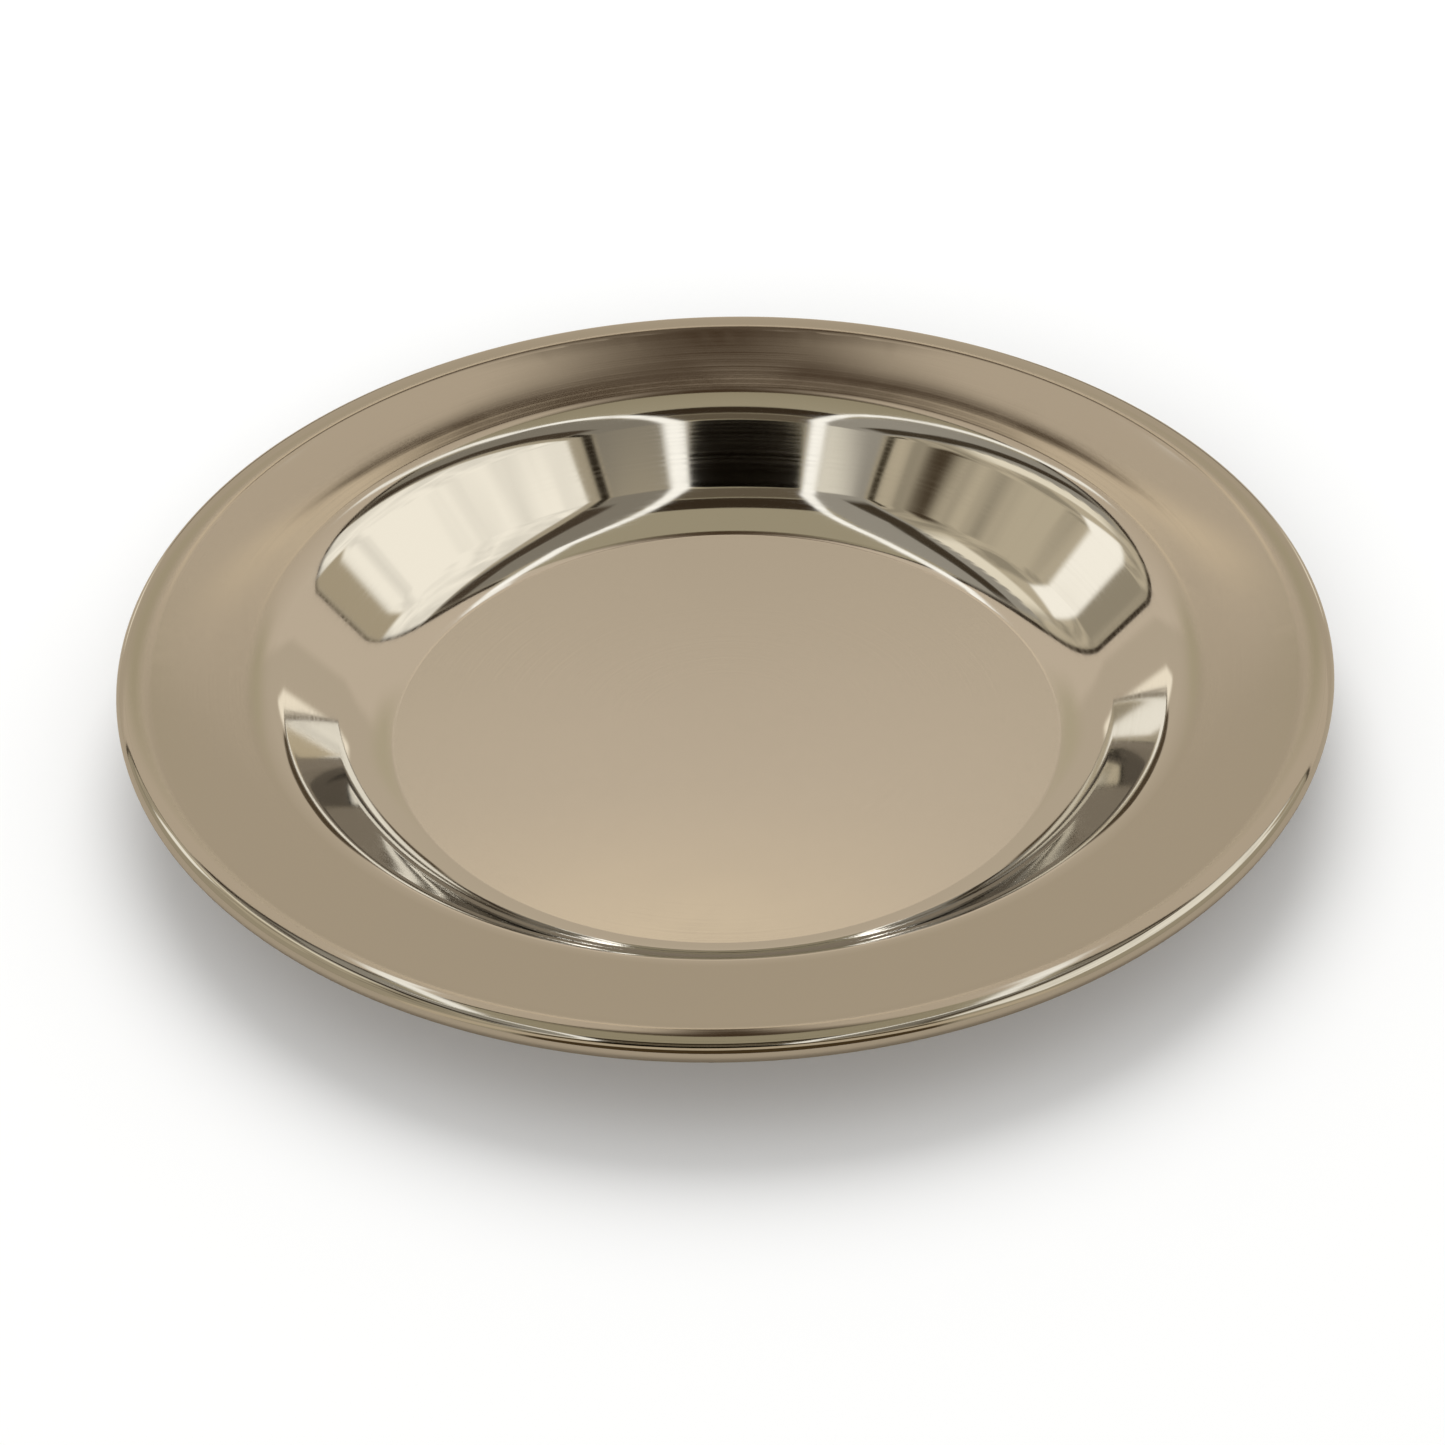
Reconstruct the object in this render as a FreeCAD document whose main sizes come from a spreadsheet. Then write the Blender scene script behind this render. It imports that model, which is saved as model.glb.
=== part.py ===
import FreeCAD, Part
import math
import os

import Sketcher

# A paten plate: one disc of plated sheet metal, spun to a shallow well with a wide flange, its edge
# curled under round a stiffening wire. The origin is the middle of the underside, and +Z is up.
doc = FreeCAD.newDocument("paten")

sizes = doc.addObject("Spreadsheet::Sheet", "sizes")
drivingSizes = [
    # alias, value in mm or degrees, what it is
    ("plate_diameter", 150.0, "over the curled edge"),
    ("sheet", 0.9, "thickness of the sheet all over"),
    ("bead_diameter", 3.0, "outside of the curled edge, in section"),
    ("bead_height", 12.09, "middle of the curled edge above the underside"),
    ("wire_clearance", 0.05, "between the wire and the curl around it"),
    ("floor_radius", 41.4, "flat part of the well's floor"),
    ("heel_radius", 2.5, "tight bend at the floor's edge"),
    ("heel_angle", 10.0, "how far the tight bend turns up, in degrees"),
    ("foot_radius", 12.6, "hollow curve from the tight bend into the wall"),
    ("wall_angle", 43.0, "slope of the well's wall, in degrees"),
    ("wall_top_radius", 54.6, "from the plate's axis to the top of the straight wall"),
    ("lip_radius", 8.0, "rounding from the wall over on to the flange"),
    ("flange_angle", 4.5, "slope of the flange up to its edge, in degrees"),
    ("sweep_radius", 85.0, "hollow sweep of the flange up to its edge"),
    ("shoulder_radius", 8.0, "rounding of the edge over and down to the curl"),
    ("shoulder_turn", 24.0, "how far the edge rounds over before the curl, in degrees"),
    ("curl_turn", 276.0, "how far round the edge is curled, in degrees"),
]
for row, (alias, value, meaning) in enumerate(drivingSizes, start=1):
    sizes.set(f"A{row}", meaning)
    sizes.set(f"B{row}", str(value))
    sizes.setAlias(f"B{row}", alias)
doc.recompute()

zAxis = FreeCAD.Vector(0, 0, 1)
start, end, centre = 1, 2, 3     # the points of a line or an arc, as the sketcher numbers them
origin, upright = -1, -2         # the sketch's own origin and vertical axis


def toward(angle):
    """Unit vector in the sketch at an angle in degrees from its X axis."""
    return FreeCAD.Vector(math.cos(math.radians(angle)), math.sin(math.radians(angle)), 0)


def planSection():
    """Centres of the section's six curves, the ends of its wall and flange, and the sweep's end slope."""
    heel = FreeCAD.Vector(sizes.floor_radius, sizes.sheet + sizes.heel_radius, 0)
    foot = heel + toward(sizes.heel_angle + 90) * (sizes.foot_radius - sizes.heel_radius)
    wallStart = foot + toward(sizes.wall_angle - 90) * sizes.foot_radius
    wallRun = sizes.wall_top_radius - wallStart.x
    wallEnd = wallStart + toward(sizes.wall_angle) * (wallRun / toward(sizes.wall_angle).x)
    lip = wallEnd + toward(sizes.wall_angle - 90) * sizes.lip_radius
    flangeStart = lip + toward(sizes.flange_angle + 90) * sizes.lip_radius
    curl = FreeCAD.Vector((sizes.plate_diameter - sizes.bead_diameter) / 2, sizes.bead_height, 0)

    # the flange runs on until its sweep, and then its shoulder, bring it round on to the curl
    reach = curl - flangeStart
    outside = sizes.sweep_radius + sizes.shoulder_radius
    inside = sizes.shoulder_radius - sizes.bead_diameter / 2
    level = inside * toward(sizes.shoulder_turn).x - outside
    aslant = inside * toward(sizes.shoulder_turn).y
    aside = reach.dot(toward(sizes.flange_angle + 90)) - sizes.sweep_radius
    sweepTurn = math.degrees(math.atan2(aslant, level) - math.acos(aside / math.hypot(aslant, level)))
    topSlope = sizes.flange_angle + sweepTurn
    shoulder = curl - toward(topSlope - sizes.shoulder_turn + 90) * inside
    sweep = shoulder + toward(topSlope + 90) * outside
    flangeEnd = sweep + toward(sizes.flange_angle - 90) * sizes.sweep_radius
    centres = {"heel": heel, "foot": foot, "lip": lip, "sweep": sweep, "shoulder": shoulder, "curl": curl}
    return centres, (wallStart, wallEnd), (flangeStart, flangeEnd), topSlope


def drawFace(sketch, depth):
    """One face of the sheet, drawn depth below its upper face from the axis to the curl's free end."""
    centres, wallEnds, flangeEnds, topSlope = planSection()
    curlStart = topSlope - sizes.shoulder_turn + 90
    floorTop = sizes.sheet - depth
    wallDown = toward(sizes.wall_angle - 90) * depth
    flangeDown = toward(sizes.flange_angle - 90) * depth

    def line(one, other):
        return sketch.addGeometry(Part.LineSegment(one, other))

    def arc(name, radius, startAngle, endAngle):
        circle = Part.Circle(centres[name], zAxis, radius)
        ends = math.radians(startAngle), math.radians(endAngle)
        return sketch.addGeometry(Part.ArcOfCircle(circle, *ends))

    face = {
        "floor": line(FreeCAD.Vector(0, floorTop, 0), FreeCAD.Vector(sizes.floor_radius, floorTop, 0)),
        "heel": arc("heel", sizes.heel_radius + depth, -90, sizes.heel_angle - 90),
        "foot": arc("foot", sizes.foot_radius + depth, sizes.heel_angle - 90, sizes.wall_angle - 90),
        "wall": line(wallEnds[0] + wallDown, wallEnds[1] + wallDown),
        "lip": arc("lip", sizes.lip_radius - depth, sizes.flange_angle + 90, sizes.wall_angle + 90),
        "flange": line(flangeEnds[0] + flangeDown, flangeEnds[1] + flangeDown),
        "sweep": arc("sweep", sizes.sweep_radius + depth, sizes.flange_angle - 90, topSlope - 90),
        "shoulder": arc("shoulder", sizes.shoulder_radius - depth, curlStart, topSlope + 90),
        "curl": arc("curl", sizes.bead_diameter / 2 - depth, curlStart - sizes.curl_turn, curlStart),
    }
    sketch.addConstraint(Sketcher.Constraint("PointOnObject", face["floor"], start, upright))
    sketch.addConstraint(Sketcher.Constraint("Horizontal", face["floor"]))
    for one, onePoint, other, otherPoint in (
        ("floor", end, "heel", start),
        ("heel", end, "foot", start),
        ("foot", end, "wall", start),
        ("wall", end, "lip", end),
        ("lip", start, "flange", start),
        ("flange", end, "sweep", start),
        ("sweep", end, "shoulder", end),
        ("shoulder", start, "curl", end),
    ):
        sketch.addConstraint(Sketcher.Constraint("Tangent", face[one], onePoint, face[other], otherPoint))
    return face


def drawSection(body):
    """The sheet in section: its upper face, its under face, and the two ends that close them."""
    sketch = body.newObject("Sketcher::SketchObject", "sheet_section")
    upPlane = [plane for plane in body.Origin.OriginFeatures if plane.Role == "XZ_Plane"][0]
    sketch.AttachmentSupport = [(upPlane, "")]
    sketch.MapMode = "FlatFace"
    upper = drawFace(sketch, 0)
    under = drawFace(sketch, sizes.sheet)

    def drive(name, expression, *constraint):
        index = sketch.addConstraint(Sketcher.Constraint(*constraint))
        sketch.renameConstraint(index, name)
        sketch.setExpression(f"Constraints.{name}", expression)

    centres, wallEnds, flangeEnds, topSlope = planSection()
    drive("floorTop", "sizes.sheet", "DistanceY", origin, start, upper["floor"], start, sizes.sheet)
    drive("floorRadius", "sizes.floor_radius",
          "DistanceX", upper["floor"], start, upper["floor"], end, sizes.floor_radius)
    drive("heelAngle", "sizes.heel_angle * 1 deg", "Angle", upper["heel"], math.radians(sizes.heel_angle))
    drive("wallAngle", "sizes.wall_angle * 1 deg", "Angle", upper["wall"], math.radians(sizes.wall_angle))
    drive("wallTop", "sizes.wall_top_radius", "DistanceX", origin, start, upper["wall"], end, wallEnds[1].x)
    drive("flangeAngle", "sizes.flange_angle * 1 deg",
          "Angle", upper["flange"], math.radians(sizes.flange_angle))
    drive("beadReach", "(sizes.plate_diameter - sizes.bead_diameter) / 2",
          "DistanceX", origin, start, upper["curl"], centre, centres["curl"].x)
    drive("beadHeight", "sizes.bead_height",
          "DistanceY", origin, start, upper["curl"], centre, centres["curl"].y)
    drive("shoulderTurn", "sizes.shoulder_turn * 1 deg",
          "Angle", upper["shoulder"], math.radians(sizes.shoulder_turn))
    drive("curlTurn", "sizes.curl_turn * 1 deg", "Angle", upper["curl"], math.radians(sizes.curl_turn))

    # a hollow curve is wider on the under face, and a round one narrower
    for name, radius, grows in (
        ("heel", "sizes.heel_radius", 1),
        ("foot", "sizes.foot_radius", 1),
        ("lip", "sizes.lip_radius", -1),
        ("sweep", "sizes.sweep_radius", 1),
        ("shoulder", "sizes.shoulder_radius", -1),
        ("curl", "sizes.bead_diameter / 2", -1),
    ):
        upperRadius = sketch.Geometry[upper[name]].Radius
        drive(f"{name}Upper", radius, "Radius", upper[name], upperRadius)
        drive(f"{name}Under", f"{radius} + {grows} * sizes.sheet",
              "Radius", under[name], upperRadius + grows * sizes.sheet)
        # a curve that touches the curve before it needs only one more hold on its centre
        hold = {"foot": "Vertical", "shoulder": "Vertical", "curl": "Vertical"}.get(name, "Coincident")
        sketch.addConstraint(Sketcher.Constraint(hold, upper[name], centre, under[name], centre))

    for name in ("floor", "curl"):
        ends = [sketch.getPoint(face[name], start) for face in (upper, under)]
        cap = sketch.addGeometry(Part.LineSegment(*ends))
        sketch.addConstraint(Sketcher.Constraint("Coincident", cap, start, upper[name], start))
        sketch.addConstraint(Sketcher.Constraint("Coincident", cap, end, under[name], start))
    sketch.addConstraint(Sketcher.Constraint("PointOnObject", upper["curl"], centre, cap))
    return sketch


def spinPlate():
    """The plate's one sheet, spun round its axis from the section."""
    body = doc.addObject("PartDesign::Body", "spun_plate")
    body.Label = "spun_plate"
    sketch = drawSection(body)
    spin = body.newObject("PartDesign::Revolution", "spin")
    spin.Profile = (sketch, [""])
    spin.ReferenceAxis = (sketch, ["V_Axis"])
    spin.Angle = 360
    return body


def layRimWire():
    """The wire ring inside the curled edge."""
    wire = doc.addObject("Part::Torus", "rim_wire")
    wire.Label = "rim_wire"
    wire.setExpression("Radius1", "(sizes.plate_diameter - sizes.bead_diameter) / 2")
    wire.setExpression("Radius2", "sizes.bead_diameter / 2 - sizes.sheet - sizes.wire_clearance")
    wire.setExpression("Placement.Base.z", "sizes.bead_height")
    return wire


subParts = [spinPlate(), layRimWire()]
doc.recompute()

for thing in doc.Objects:
    if "Invalid" in thing.State or "Error" in thing.State:
        raise RuntimeError(f"{thing.Label} did not build: {thing.State}")

os.makedirs("parts", exist_ok=True)
for piece in subParts:
    if piece.Shape.isNull() or not piece.Shape.isValid() or len(piece.Shape.Solids) != 1:
        raise RuntimeError(f"{piece.Label} is not one sound solid")
    piece.Shape.exportStep(f"parts/{piece.Label}.step")
    box = piece.Shape.optimalBoundingBox()
    print(f"{piece.Label}: {box.XLength:.2f} x {box.YLength:.2f} x {box.ZLength:.2f} mm,"
          f" {piece.Shape.Volume / 1000:.2f} cm3")
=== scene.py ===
import math

import bpy
from mathutils import Matrix, Vector


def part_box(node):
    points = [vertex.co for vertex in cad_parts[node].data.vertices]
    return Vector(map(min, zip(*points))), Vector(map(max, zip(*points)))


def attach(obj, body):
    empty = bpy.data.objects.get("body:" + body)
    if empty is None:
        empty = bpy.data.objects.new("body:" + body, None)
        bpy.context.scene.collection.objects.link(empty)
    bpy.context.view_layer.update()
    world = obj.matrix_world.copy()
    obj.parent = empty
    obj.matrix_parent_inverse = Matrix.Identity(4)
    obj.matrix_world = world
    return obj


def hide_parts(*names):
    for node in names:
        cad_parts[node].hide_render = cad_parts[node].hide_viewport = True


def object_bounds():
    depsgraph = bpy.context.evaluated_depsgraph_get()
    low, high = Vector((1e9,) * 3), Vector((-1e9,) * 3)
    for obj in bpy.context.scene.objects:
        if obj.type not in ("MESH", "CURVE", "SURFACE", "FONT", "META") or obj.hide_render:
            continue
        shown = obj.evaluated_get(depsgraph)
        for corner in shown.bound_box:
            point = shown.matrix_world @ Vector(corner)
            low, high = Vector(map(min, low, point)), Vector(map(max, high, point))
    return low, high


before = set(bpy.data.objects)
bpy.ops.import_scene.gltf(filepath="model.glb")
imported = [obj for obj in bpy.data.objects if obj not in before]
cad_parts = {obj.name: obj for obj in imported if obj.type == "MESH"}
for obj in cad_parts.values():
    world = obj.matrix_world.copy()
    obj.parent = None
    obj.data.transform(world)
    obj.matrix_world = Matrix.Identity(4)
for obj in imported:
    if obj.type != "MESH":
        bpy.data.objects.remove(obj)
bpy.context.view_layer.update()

scene = bpy.context.scene
mm = 0.001


# sRGB hex to the linear colour that Blender wants
def toLinear(hexColour):
    parts = [int(hexColour[i:i + 2], 16) / 255 for i in (0, 2, 4)]
    return tuple(c / 12.92 if c <= 0.04045 else ((c + 0.055) / 1.055) ** 2.4 for c in parts) + (1.0,)


def addNode(tree, kind, inputs=None, **settings):
    node = tree.nodes.new(kind)
    for name, value in settings.items():
        setattr(node, name, value)
    for name, value in (inputs or {}).items():
        if isinstance(value, bpy.types.NodeSocket):
            tree.links.new(value, node.inputs[name])
        else:
            node.inputs[name].default_value = value
    return node


def newMaterial(name):
    material = bpy.data.materials.new(name)
    material.use_nodes = True
    material.node_tree.nodes.clear()
    return material, material.node_tree


def newObject(name, points, faces, smooth=True):
    mesh = bpy.data.meshes.new(name)
    mesh.from_pydata(points, [], faces)
    mesh.polygons.foreach_set("use_smooth", [smooth] * len(mesh.polygons))
    thing = bpy.data.objects.new(name, mesh)
    scene.collection.objects.link(thing)
    return thing


plate = {
    "sheet": 0.9,            # mm, gauge of the sheet
    "floorRadius": 41.4,     # mm, flat floor of the well
    "heelRadius": 2.5,       # mm, tight bend at the floor's edge
    "heelAngle": 10,         # degrees it turns up
    "footRadius": 12.6,      # mm, hollow curve into the wall
    "wallAngle": 43,         # degrees
    "wallTop": 54.6,         # mm from the axis to the top of the straight wall
    "lipRadius": 8.0,        # mm, rounding over on to the flange
    "flangeAngle": 4.5,      # degrees up to the edge
    "sweepRadius": 85.0,     # mm, hollow sweep of the flange up to its edge
    "shoulderRadius": 8.0,   # mm, rounding of the edge over and down to the curl
    "shoulderTurn": 24,      # degrees
    "curlRadius": 1.5,       # mm, outside of the curl in section
    "curlTurn": 276,         # degrees
    "curlHeight": 12.078,    # mm, middle of the curl above the underside, a hair low to stay in the CAD box
    "bendStep": 2.5,         # degrees between rings on a bend
    "turns": 300,            # steps round the plate
}
onAxis = 1e-6                # mm, a point nearer than this lies on the axis


def along(angle, length=1.0):
    return Vector((math.cos(math.radians(angle)), math.sin(math.radians(angle)))) * length


# middle of each bend, and the angles it runs between, in the section's plane
def planBends(curl):
    p = plate
    heel = Vector((p["floorRadius"], p["sheet"] + p["heelRadius"]))
    foot = heel + along(p["heelAngle"] + 90, p["footRadius"] - p["heelRadius"])
    wallStart = foot + along(p["wallAngle"] - 90, p["footRadius"])
    wallEnd = wallStart + along(p["wallAngle"], (p["wallTop"] - wallStart.x) / along(p["wallAngle"]).x)
    lip = wallEnd + along(p["wallAngle"] - 90, p["lipRadius"])
    flangeStart = lip + along(p["flangeAngle"] + 90, p["lipRadius"])

    # the sweep and the shoulder bring the flange round on to the curl
    outside = p["sweepRadius"] + p["shoulderRadius"]
    inside = p["shoulderRadius"] - p["curlRadius"]
    turned = along(p["shoulderTurn"], inside) - Vector((outside, 0))
    aside = (curl - flangeStart).dot(along(p["flangeAngle"] + 90)) - p["sweepRadius"]
    topSlope = p["flangeAngle"] + math.degrees(math.atan2(turned.y, turned.x)
                                               - math.acos(aside / turned.length))
    curlStart = topSlope - p["shoulderTurn"] + 90
    shoulder = curl - along(curlStart, inside)
    sweep = shoulder + along(topSlope + 90, outside)
    # middle, radius, first angle, last angle, 1 where it is hollow from above and -1 where round
    return [
        (heel, p["heelRadius"], -90, p["heelAngle"] - 90, 1),
        (foot, p["footRadius"], p["heelAngle"] - 90, p["wallAngle"] - 90, 1),
        (lip, p["lipRadius"], p["wallAngle"] + 90, p["flangeAngle"] + 90, -1),
        (sweep, p["sweepRadius"], p["flangeAngle"] - 90, topSlope - 90, 1),
        (shoulder, p["shoulderRadius"], topSlope + 90, curlStart, -1),
        (curl, p["curlRadius"], curlStart, curlStart - p["curlTurn"], -1),
    ]


# points and normals along one face of the sheet, from the axis out to the curl's free end
def faceOfSheet(curlMiddle, depth):
    rings = [(Vector((0, plate["sheet"] - depth)), Vector((0, 1)))]
    for middle, radius, first, last, hollow in planBends(curlMiddle):
        steps = max(3, round(abs(last - first) / plate["bendStep"]))
        for i in range(steps + 1):
            out = along(first + (last - first) * i / steps)
            rings.append((middle + out * (radius + hollow * depth), out * -hollow))
    return rings


def spinSheet(name):
    low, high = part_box("spun_plate")
    radius = min(high.x, -low.x, high.y, -low.y) / mm
    curlMiddle = Vector((radius - plate["curlRadius"], plate["curlHeight"]))
    upper = faceOfSheet(curlMiddle, 0)
    under = [(point, -normal) for point, normal in reversed(faceOfSheet(curlMiddle, plate["sheet"]))]
    section = upper + under
    turns = plate["turns"]
    around = [along(360 * i / turns) for i in range(turns)]

    points, firstOf = [], []
    for point, _ in section:
        firstOf.append(len(points))
        if point.x < onAxis:
            points.append((0, 0, point.y * mm))
        else:
            points += [(a.x * point.x * mm, a.y * point.x * mm, point.y * mm) for a in around]

    faces, normals = [], []
    capAt = len(upper) - 1                       # the strip across the sheet's free end
    for s in range(len(section) - 1):
        (p, n), (q, m) = section[s], section[s + 1]
        if s == capAt:
            across = (q - p).normalized()
            n = m = Vector((-across.y, across.x))
        for i in range(turns):
            j = (i + 1) % turns
            a, b = around[i], around[j]
            if p.x < onAxis:
                corners = [(firstOf[s], a, n), (firstOf[s + 1] + i, a, m), (firstOf[s + 1] + j, b, m)]
            elif q.x < onAxis:
                corners = [(firstOf[s] + i, a, n), (firstOf[s + 1], a, m), (firstOf[s] + j, b, n)]
            else:
                corners = [(firstOf[s] + i, a, n), (firstOf[s + 1] + i, a, m),
                           (firstOf[s + 1] + j, b, m), (firstOf[s] + j, b, n)]
            faces.append([c[0] for c in corners])
            normals += [(c[1].x * c[2].x, c[1].y * c[2].x, c[2].y) for c in corners]
    thing = newObject(name, points, faces)
    thing.data.normals_split_custom_set(normals)
    return thing


spunPlate = spinSheet("spunPlate")
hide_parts("spun_plate")
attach(spunPlate, "root")
print("spun plate:", len(spunPlate.data.polygons), "faces")


# lines that a tool leaves round the axis, at this spacing in mm
def ringLines(tree, spacing, detail):
    place = addNode(tree, "ShaderNodeTexCoord").outputs["Object"]
    flat = addNode(tree, "ShaderNodeVectorMath", {0: place, 1: (1, 1, 0)}, operation="MULTIPLY").outputs[0]
    radius = addNode(tree, "ShaderNodeVectorMath", {0: flat}, operation="LENGTH").outputs["Value"]
    count = addNode(tree, "ShaderNodeMath", {0: radius, 1: 1 / (spacing * mm)},
                    operation="MULTIPLY").outputs[0]
    lines = addNode(tree, "ShaderNodeTexNoise", {"W": count, "Scale": 1.0, "Detail": detail},
                    noise_dimensions="1D").outputs["Fac"]
    return place, radius, lines


silver = {
    "bright": "D8D7D5",      # polished silver plate, a shade darker than pure silver
    "flangeColour": "B4B0A6",     # darker, yellower colour that the flange is turned to
    "flangeShare": 0.45,            # how far the flange is turned to that colour
    "flangeEdge": (56, 59),    # mm from the axis where that colour starts and where it is full
    "roughness": (0.045, 0.085),
    "worn": (0.15, 0.4),     # values of the wear pattern that give those two
    "spinLine": 0.35,        # mm between the wheel's lines; the real ones are about 0.1
    "spinDepth": 0.00012,    # mm
    "ripple": 17,            # mm from one shallow swell of the sheet to the next
    "rippleDepth": 0.010,    # mm
    "smear": 26,             # mm, size of the cloth's smears
}


def polishedSilverPlate():
    # wheel polished silver plate over spun brass: a near mirror, softened by hairlines round the axis
    material, tree = newMaterial("polishedSilverPlate")
    place, radius, hairlines = ringLines(tree, silver["spinLine"], 3.0)
    smears = addNode(tree, "ShaderNodeTexNoise", {"Vector": place, "Scale": 1 / (silver["smear"] * mm),
                                                  "Detail": 4.0, "Distortion": 1.5}).outputs["Fac"]
    swells = addNode(tree, "ShaderNodeTexNoise", {"Vector": place, "Scale": 1 / (silver["ripple"] * mm),
                                                  "Detail": 1.0}).outputs["Fac"]
    worn = addNode(tree, "ShaderNodeMath", {0: hairlines, 1: smears}, operation="MULTIPLY").outputs[0]
    least, most = silver["worn"]
    low, high = silver["roughness"]
    rough = addNode(tree, "ShaderNodeMapRange", {"Value": worn, "From Min": least, "From Max": most,
                                                 "To Min": low, "To Max": high}).outputs["Result"]

    # the flange, from the lip outwards, is turned darker and yellower than the well
    starts, full = silver["flangeEdge"]
    flangeShare = addNode(tree, "ShaderNodeMapRange", {
        "Value": radius, "From Min": starts * mm, "From Max": full * mm,
        "To Min": 0.0, "To Max": silver["flangeShare"]}).outputs["Result"]
    colour = addNode(tree, "ShaderNodeMix", {"Factor": flangeShare, "A": toLinear(silver["bright"]),
                                             "B": toLinear(silver["flangeColour"])}, data_type="RGBA")
    swell = addNode(tree, "ShaderNodeBump", {"Height": swells, "Strength": 1.0,
                                             "Distance": silver["rippleDepth"] * mm}).outputs["Normal"]
    fine = addNode(tree, "ShaderNodeBump", {"Height": hairlines, "Strength": 1.0, "Normal": swell,
                                            "Distance": silver["spinDepth"] * mm}).outputs["Normal"]
    shader = addNode(tree, "ShaderNodeBsdfPrincipled", {
        "Base Color": colour.outputs[2], "Metallic": 1.0, "Roughness": rough, "Normal": fine})
    addNode(tree, "ShaderNodeOutputMaterial", {"Surface": shader.outputs[0]})
    return material


wire = {
    "steel": "8A857C",
    "rust": "6B5138",
    "rustSpot": 3,           # mm
    "rustEdge": (0.55, 0.7), # values of the rust pattern where it starts and where it is full
    "drawLine": 0.15,        # mm between the die's lines
    "drawDepth": 0.004,      # mm
    "roughness": (0.28, 0.5),
}


def drawnSteelWire():
    # mild steel wire, drawn through a die: dull grey with lines round the ring and a little rust
    material, tree = newMaterial("drawnSteelWire")
    place, _, drawn = ringLines(tree, wire["drawLine"], 2.0)
    spots = addNode(tree, "ShaderNodeTexNoise", {"Vector": place, "Scale": 1 / (wire["rustSpot"] * mm),
                                                 "Detail": 5.0}).outputs["Fac"]
    starts, full = wire["rustEdge"]
    rusty = addNode(tree, "ShaderNodeMapRange", {"Value": spots, "From Min": starts,
                                                 "From Max": full}).outputs["Result"]
    colour = addNode(tree, "ShaderNodeMix", {"Factor": rusty, "A": toLinear(wire["steel"]),
                                             "B": toLinear(wire["rust"])}, data_type="RGBA")
    low, high = wire["roughness"]
    rough = addNode(tree, "ShaderNodeMapRange", {"Value": drawn, "To Min": low,
                                                 "To Max": high}).outputs["Result"]
    bump = addNode(tree, "ShaderNodeBump", {"Height": drawn, "Strength": 1.0,
                                            "Distance": wire["drawDepth"] * mm})
    shader = addNode(tree, "ShaderNodeBsdfPrincipled", {
        "Base Color": colour.outputs[2], "Metallic": 1.0, "Roughness": rough, "Normal": bump.outputs[0]})
    addNode(tree, "ShaderNodeOutputMaterial", {"Surface": shader.outputs[0]})
    return material


spunPlate.data.materials.append(polishedSilverPlate())
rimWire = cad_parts["rim_wire"]
rimWire.material_slots[0].material = drawnSteelWire()
print("finishes: polished silver plate, drawn steel wire")


studio = {
    "floor": "F5F5F4",
    "table": "BFB09A",       # what polished metal sees in place of the floor
    "floorGap": 0.1,         # mm from the plate down to the floor
    "tableGap": 0.05,        # mm from the plate down to the table
    "floorSize": 12.0,       # m across
    "skyPower": 0.64,
    "keyPower": 9.2,         # W
    "keyPlace": (-0.03, 0.8, 1.0),
    "keySize": 1.1,          # m
    "fillPower": 18.0,       # W
    "fillPlace": (-0.3, -2.0, 0.7),
    "fillSize": 1.2,         # m
    "tentRadius": 3.0,       # m
    "tentPower": 1.45,
    "layerGap": 0.1,         # m from one layer of panels in to the next
    "panelRows": 12,
    "foldScale": 1.6,        # shaded folds of the cloth for each metre
    "foldEdge": (0.4, 0.6),  # values of the fold pattern where its shade is full and where it ends
}

world = bpy.data.worlds.new("softRoom")
scene.world = world
world.use_nodes = True
world.node_tree.nodes["Background"].inputs["Color"].default_value = (1, 1, 1, 1)
world.node_tree.nodes["Background"].inputs["Strength"].default_value = studio["skyPower"]


def hangLight(name, power, place, size):
    lamp = bpy.data.lights.new(name, "AREA")
    lamp.energy = power
    lamp.shape = "DISK"
    lamp.size = size
    thing = bpy.data.objects.new(name, lamp)
    scene.collection.objects.link(thing)
    thing.location = place
    thing.rotation_euler = (-Vector(place)).to_track_quat("-Z", "Y").to_euler()
    thing.visible_glossy = False                 # polished metal sees the tent in its place


hangLight("keyLight", studio["keyPower"], studio["keyPlace"], studio["keySize"])
hangLight("fillLight", studio["fillPower"], studio["fillPlace"], studio["fillSize"])


def layFloor(name, colour, height):
    half = studio["floorSize"] / 2
    floor = newObject(name, [(-half, -half, height), (half, -half, height), (half, half, height),
                             (-half, half, height)], [(0, 1, 2, 3)])
    material, tree = newMaterial(name)
    shader = addNode(tree, "ShaderNodeBsdfPrincipled", {
        "Base Color": toLinear(colour), "Roughness": 0.9, "Specular IOR Level": 0.0})
    addNode(tree, "ShaderNodeOutputMaterial", {"Surface": shader.outputs[0]})
    floor.data.materials.append(material)
    return floor


# polished metal sees it, and nothing else does
def onlyForMirrors(thing):
    thing.visible_camera = thing.visible_diffuse = thing.visible_shadow = False
    thing.visible_transmission = thing.visible_volume_scatter = False


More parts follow.
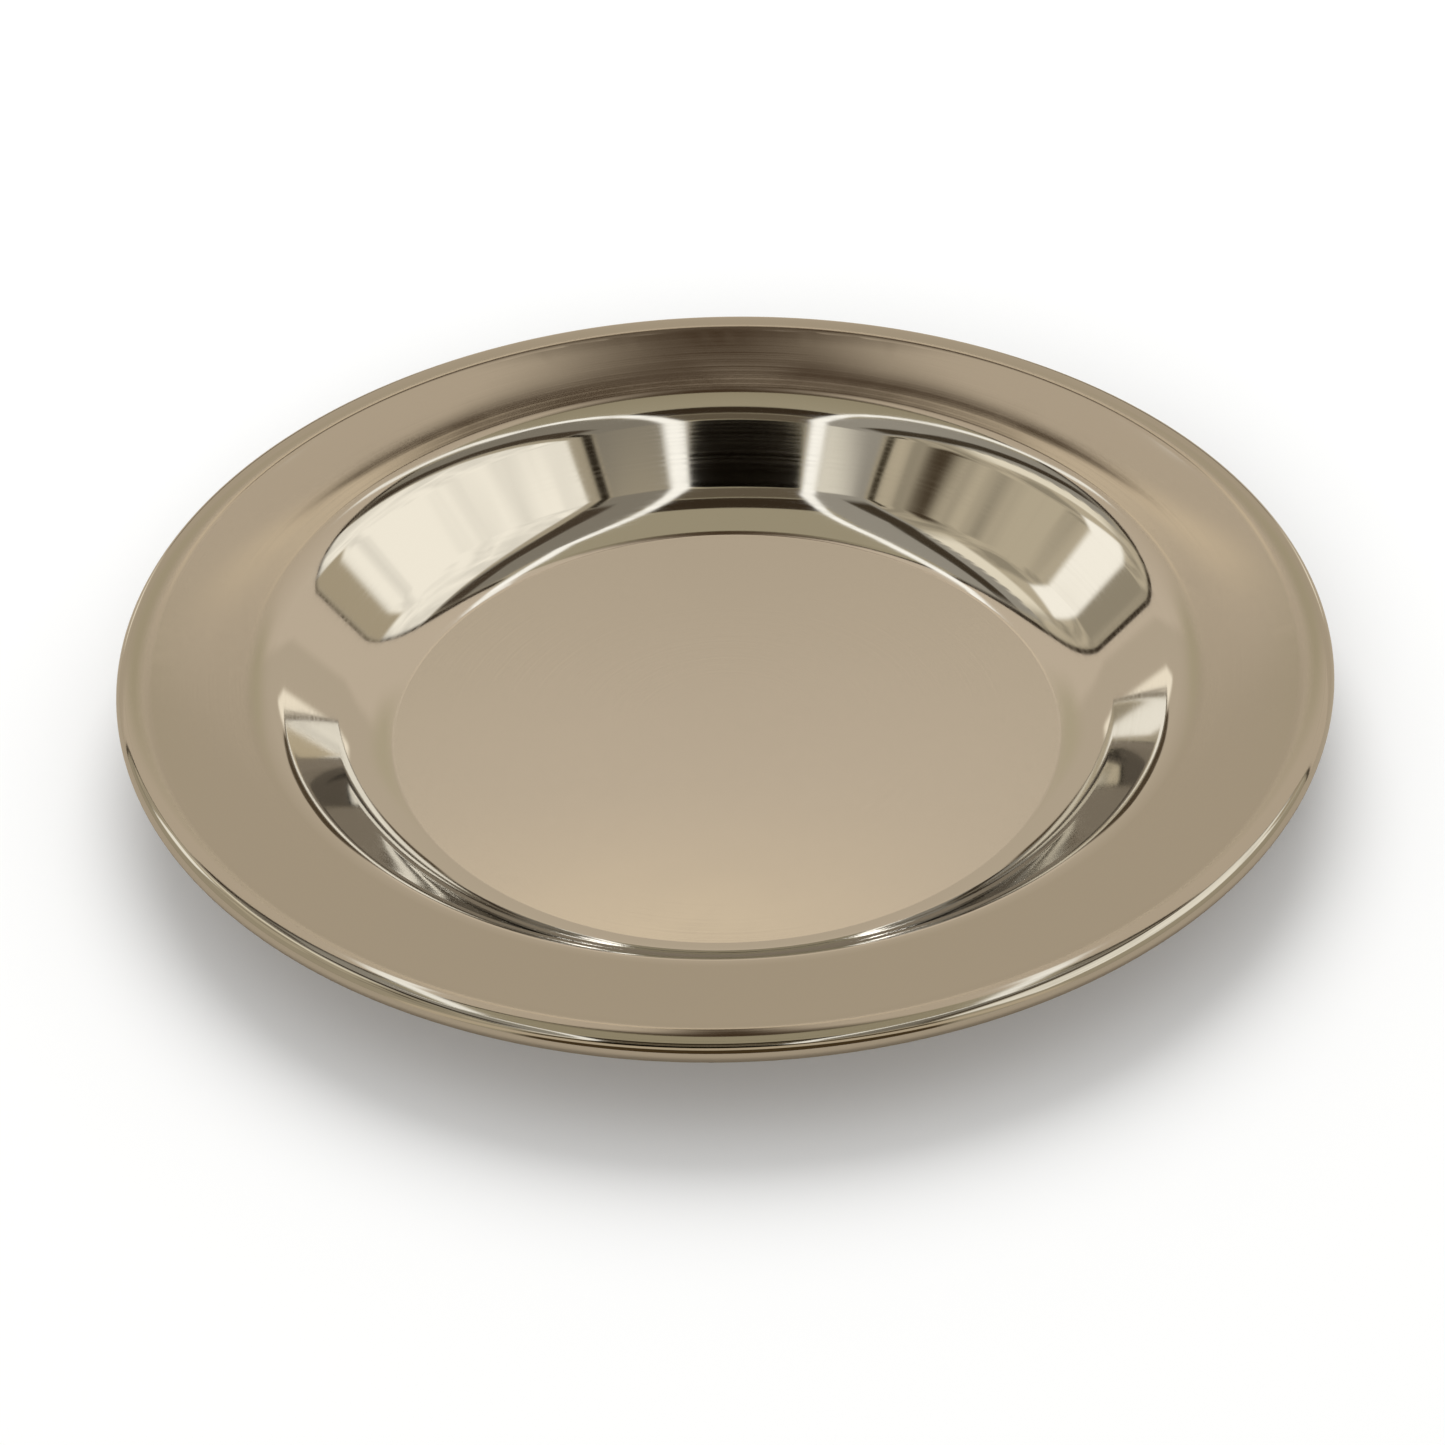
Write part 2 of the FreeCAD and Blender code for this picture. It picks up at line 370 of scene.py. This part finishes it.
# The light tent that polished metal sees. A panel hangs between two edges, each a list of points
# in degrees to the right and to the back of straight overhead. soft: the share of it that fades out,
# along and across. layer: how far in it hangs. mottle: how deep its folds are shaded. inner: how much
# brighter or dimmer it is for each further bounce inside the well
tent = {
    "hood": {"one": [(-95, -95), (0, -95), (95, -95)], "other": [(-95, 95), (0, 95), (95, 95)],
             "glow": "9C917B", "soft": None, "layer": 0},
    "frontShade": {"one": [(-70, -95), (70, -95)], "other": [(-30, -30), (30, -30)],
                   "glow": "43341F", "soft": (0.1, 0.1), "layer": 1},
    "backSheet": {"one": [(-95, 62), (-55, 49.2), (-29, 39.5), (-14, 35.5), (15, 32.5), (40, 34.5),
                          (57, 37.2), (95, 42)],
                  "other": [(-95, 100), (-55, 100), (-29, 98), (-14, 98), (15, 98), (40, 98),
                            (57, 100), (95, 100)],
                  "glow": "B8A994", "soft": None, "inner": 0.5, "layer": 1},
    "sheetTop": {"one": [(-95, 51), (95, 51)], "other": [(-95, 84), (95, 84)],
                 "glow": "AC9E89", "soft": (0.02, 0.12), "inner": 0.5, "layer": 2},
    "sheetGlow": {"one": [(-8, 51.7), (-8, 46.8)], "other": [(6, 51.7), (6, 46.8)],
                  "glow": "CDBBA0", "soft": (0.5, 0.5), "layer": 3},
    "sheetHem": {"one": [(-95, 60), (-55, 47.2), (-29, 37.5), (-14, 33), (15, 30.5), (40, 32.5),
                         (57, 35.2), (95, 40)],
                 "other": [(-95, 62), (-55, 49.2), (-29, 39.5), (-14, 36), (15, 32.8), (40, 34.5),
                           (57, 37.2), (95, 42)],
                 "glow": "2A2015", "soft": None, "inner": 0.5, "layer": 2},
    "ridge": {"one": [(-13, 34), (-16, 0), (-17, -28)], "other": [(13, 34), (12, 0), (9, -28)],
              "glow": "968C74", "soft": None, "layer": 3},
    "ridgeShade": {"one": [(-15, -1), (-16, -15)], "other": [(11, -1), (9, -15)],
                   "glow": "33291D", "soft": (0.08, 0.08), "layer": 4},
    "ridgeFold": {"one": [(-16, -15), (-17, -27)], "other": [(9, -15), (7, -27)],
                  "glow": "5A5040", "soft": (0.05, 0.05), "layer": 4},
    "hanger": {"one": [(-1.2, 48.9), (-1.4, 47), (-2, 43), (-3.2, 38.5), (-7.5, 34), (-9, 31)],
               "other": [(1.0, 48.9), (1.2, 47), (1.9, 43), (3.2, 38.5), (7.5, 34), (9, 31)],
               "glow": "413223", "soft": (0.03, 0.5), "layer": 5},
    "leftStrip": {"one": [(-8.5, 44), (-11.5, 38), (-14, 20), (-15, 0), (-18, -20), (-22, -31)],
                  "other": [(-5.5, 44), (-8.5, 38), (-11.8, 20), (-13, 0), (-14, -20), (-17, -31)],
                  "glow": "FAF6EC", "soft": (0.06, 0.3), "inner": 2, "layer": 5},
    "rightStrip": {"one": [(5.5, 43), (8.5, 36), (11.6, 20), (9.6, 0), (6.8, -20), (4, -34)],
                   "other": [(8.5, 43), (11.5, 36), (14.2, 20), (12, 0), (10.8, -20), (11, -34)],
                   "glow": "FAF6EC", "soft": (0.06, 0.3), "inner": 2, "layer": 5},
    "leftGrey": {"one": [(-30, 37), (-30, 0), (-29, -30)], "other": [(-13, 36), (-14, 0), (-15, -30)],
                 "glow": "8E887C", "soft": (0.05, 0.05), "layer": 3},
    "leftDark": {"one": [(-22.5, 37), (-25.8, 18), (-29, 0), (-28, -20)],
                 "other": [(-18, 36), (-21, 18), (-23.5, 0), (-22, -20)],
                 "glow": "3B3226", "soft": (0.1, 0.15), "layer": 4},
    "leftFlap": {"one": [(-29, -21.5), (-27, -31)], "other": [(-18, -23.5), (-18, -32)],
                 "glow": "D2CBBA", "soft": (0.3, 0.25), "layer": 5},
    "leftSeam": {"one": [(-31.4, -14), (-30.8, -26)], "other": [(-29.6, -15), (-29, -26)],
                 "glow": "2E2618", "soft": (0.1, 0.3), "layer": 6},
    "leftPatch": {"one": [(-43, -3), (-41, -18)], "other": [(-34, -6), (-35, -19)],
                  "glow": "3E3325", "soft": (0.4, 0.4), "layer": 4},
    "rightGrey": {"one": [(14, 32), (12, 0), (9, -31)], "other": [(27, 32), (25, 0), (22, -27)],
                  "glow": "7A7366", "soft": (0.05, 0.05), "layer": 3},
    "rightDark": {"one": [(18.5, 33), (20.5, 18), (20, 0), (18, -19)],
                  "other": [(26, 33), (25, 18), (25, 0), (25, -19)],
                  "glow": "41372B", "soft": (0.1, 0.15), "layer": 4},
    "rightSeam": {"one": [(22, -16), (22, -28)], "other": [(24.6, -16), (24.6, -27)],
                  "glow": "1E160C", "soft": (0.1, 0.3), "layer": 6},
    "leftCloth": {"one": [(-62, 50), (-62, 0), (-50, -35)], "other": [(-26, 38), (-28, 0), (-30, -32)],
                  "glow": "B0A48C", "soft": (0.03, 0.03), "mottle": 0.4, "inner": 1.2, "layer": 2},
    "leftPane": {"one": [(-60, 36), (-58, 20)], "other": [(-38, 34), (-44, 20)],
                 "glow": "F2ECDE", "soft": (0.15, 0.15), "inner": 1.2, "layer": 3},
    "leftFold": {"one": [(-38, 38), (-38, -2)], "other": [(-27, 36), (-28, -2)],
                 "glow": "DDD3BD", "soft": (0.25, 0.25), "layer": 3},
    "rightCloth": {"one": [(26, 33), (27, 0), (26, -30)], "other": [(62, 37), (62, 0), (50, -35)],
                   "glow": "EFE8D8", "soft": (0.03, 0.03), "mottle": 0.2, "inner": 1.2, "layer": 2},
    "rightCorner": {"one": [(44, 36), (44, 24)], "other": [(62, 38), (62, 24)],
                    "glow": "A0937A", "soft": (0.2, 0.2), "inner": 1.6, "layer": 3},
    "leftSide": {"one": [(-30, 66), (-30, 44)], "other": [(-1, 62), (-1, 47)],
                 "glow": "A79B82", "soft": (0.4, 0.5), "layer": 3},
    "rightSide": {"one": [(1, 62), (1, 47)], "other": [(30, 66), (30, 44)],
                  "glow": "A79B82", "soft": (0.4, 0.5), "layer": 3},
    "rightSill": {"one": [(37, 82), (38, 66)], "other": [(55, 84), (54, 69)],
                  "glow": "E6DAC4", "soft": (0.2, 0.2), "layer": 4},
    "leftSill": {"one": [(-55, 84), (-54, 69)], "other": [(-37, 82), (-38, 66)],
                 "glow": "E6DAC4", "soft": (0.2, 0.2), "layer": 4},
    "lowLeft": {"one": [(-42, 92), (-38, 76)], "other": [(-10, 92), (-14, 77)],
                "glow": "463A2A", "soft": (0.12, 0.12), "layer": 3},
    "lowRight": {"one": [(10, 92), (14, 77)], "other": [(42, 92), (38, 76)],
                 "glow": "463A2A", "soft": (0.12, 0.12), "layer": 3},
    "lowFront": {"one": [(-75, -41), (75, -41)], "other": [(-95, -60), (95, -60)],
                 "glow": "B4A58C", "soft": (0.1, 0.1), "layer": 3},
    "doorway": {"one": [(-15.5, -27), (-18.5, -28.6), (-19.5, -32), (-18, -39)],
                "other": [(3, -28), (6.5, -29.5), (8, -33), (7, -39)],
                "glow": "060402", "soft": (0.02, 0.04), "layer": 6},
}


def tentPoint(right, back, distance):
    tilt = math.hypot(right, back)
    spread = math.sin(math.radians(tilt)) / tilt * distance if tilt else 0
    return (right * spread, back * spread, math.cos(math.radians(tilt)) * distance)


# the same number of evenly spread points along each edge
def edgePoints(corners, count):
    found = []
    for i in range(count):
        t = i / (count - 1) * (len(corners) - 1)
        k = min(int(t), len(corners) - 2)
        found.append(Vector(corners[k]).lerp(Vector(corners[k + 1]), t - k))
    return found


def hangPanel(name, panel):
    rows = studio["panelRows"]
    count = rows * (len(panel["one"]) - 1) + 1
    distance = studio["tentRadius"] - studio["layerGap"] * panel["layer"]
    one, other = edgePoints(panel["one"], count), edgePoints(panel["other"], count)
    wide = rows + 1
    points = [tentPoint(*one[i].lerp(other[i], j / rows), distance)
              for i in range(count) for j in range(wide)]
    faces = [(i * wide + j, i * wide + j + 1, (i + 1) * wide + j + 1, (i + 1) * wide + j)
             for i in range(count - 1) for j in range(rows)]
    thing = newObject(name, points, faces)
    spread = thing.data.uv_layers.new(name="spread")
    for loop in thing.data.loops:
        i, j = divmod(loop.vertex_index, wide)
        spread.data[loop.index].uv = (i / (count - 1), j / rows)
    thing.data.materials.append(glowingCloth(name, panel))
    onlyForMirrors(thing)


def glowingCloth(name, panel):
    material, tree = newMaterial(name)
    material.cycles.emission_sampling = "NONE"
    bounces = addNode(tree, "ShaderNodeLightPath").outputs["Glossy Depth"]
    further = addNode(tree, "ShaderNodeMath", {0: bounces, 1: 1.0}, operation="SUBTRACT").outputs[0]
    change = addNode(tree, "ShaderNodeMath", {0: panel.get("inner", 1.0), 1: further},
                     operation="POWER").outputs[0]
    power = addNode(tree, "ShaderNodeMath", {0: change, 1: studio["tentPower"]},
                    operation="MULTIPLY").outputs[0]
    if panel.get("mottle"):
        place = addNode(tree, "ShaderNodeTexCoord").outputs["Object"]
        folds = addNode(tree, "ShaderNodeTexNoise", {"Vector": place, "Scale": studio["foldScale"],
                                                     "Detail": 3.0, "Distortion": 1.2}).outputs["Fac"]
        dark, clear = studio["foldEdge"]
        shade = addNode(tree, "ShaderNodeMapRange", {
            "Value": folds, "From Min": dark, "From Max": clear,
            "To Min": 1 - panel["mottle"], "To Max": 1.0}).outputs["Result"]
        power = addNode(tree, "ShaderNodeMath", {0: power, 1: shade}, operation="MULTIPLY").outputs[0]
    glow = addNode(tree, "ShaderNodeEmission", {"Color": toLinear(panel["glow"]), "Strength": power})
    surface = glow.outputs[0]
    if panel["soft"]:
        spread = addNode(tree, "ShaderNodeTexCoord").outputs["UV"]
        axes = addNode(tree, "ShaderNodeSeparateXYZ", {0: spread}).outputs
        fades = []
        for axis, soft in zip(axes[:2], panel["soft"]):
            offMiddle = addNode(tree, "ShaderNodeMath", {0: axis, 1: 0.5}, operation="SUBTRACT").outputs[0]
            distance = addNode(tree, "ShaderNodeMath", {0: offMiddle}, operation="ABSOLUTE").outputs[0]
            fades.append(addNode(tree, "ShaderNodeMapRange", {
                "Value": distance, "From Min": 0.5 - soft, "From Max": 0.5, "To Min": 1.0, "To Max": 0.0},
                interpolation_type="SMOOTHSTEP").outputs["Result"])
        mask = addNode(tree, "ShaderNodeMath", {0: fades[0], 1: fades[1]}, operation="MULTIPLY").outputs[0]
        nothing = addNode(tree, "ShaderNodeBsdfTransparent").outputs[0]
        surface = addNode(tree, "ShaderNodeMixShader", {0: mask, 1: nothing, 2: surface}).outputs[0]
    addNode(tree, "ShaderNodeOutputMaterial", {"Surface": surface})
    return material


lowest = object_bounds()[0].z
layFloor("whiteFloor", studio["floor"], lowest - studio["floorGap"] * mm)
table = layFloor("table", studio["table"], lowest - studio["tableGap"] * mm)
onlyForMirrors(table)
for name, panel in tent.items():
    hangPanel(name, panel)
print("studio: floor, two lights and a tent of", len(tent), "panels")


view = {
    "aim": (0, 0, 12.1),     # mm, middle of the rim
    "elevation": 37.0,       # degrees
    "distance": 682,         # mm
    "roll": 1.5,             # degrees, right side of the plate a little high
    "below": 8.0,            # mm the view's middle lies below the rim's
    "left": 0.44,            # mm it lies to the left
    "lens": 137.5,           # mm on a 36 mm sensor
}


def placeCamera():
    tilt = math.radians(view["elevation"])
    back = Vector((0, -math.cos(tilt), math.sin(tilt)))
    up = Vector((0, math.sin(tilt), math.cos(tilt)))
    right = Vector((1, 0, 0))
    aim = Vector(view["aim"])
    place = aim + back * view["distance"]
    look = aim - up * view["below"] - right * view["left"]
    lens = bpy.data.cameras.new("camera")
    lens.lens = view["lens"]
    camera = bpy.data.objects.new("camera", lens)
    scene.collection.objects.link(camera)
    away = (place - look).normalized()
    right = up.cross(away).normalized()
    up = away.cross(right)
    roll = math.radians(view["roll"])
    turned = Matrix((right * math.cos(roll) - up * math.sin(roll),
                     right * math.sin(roll) + up * math.cos(roll), away)).transposed()
    camera.matrix_world = Matrix.Translation(place * mm) @ turned.to_4x4()
    scene.camera = camera


placeCamera()
scene.view_settings.view_transform = "Standard"
print("camera placed")
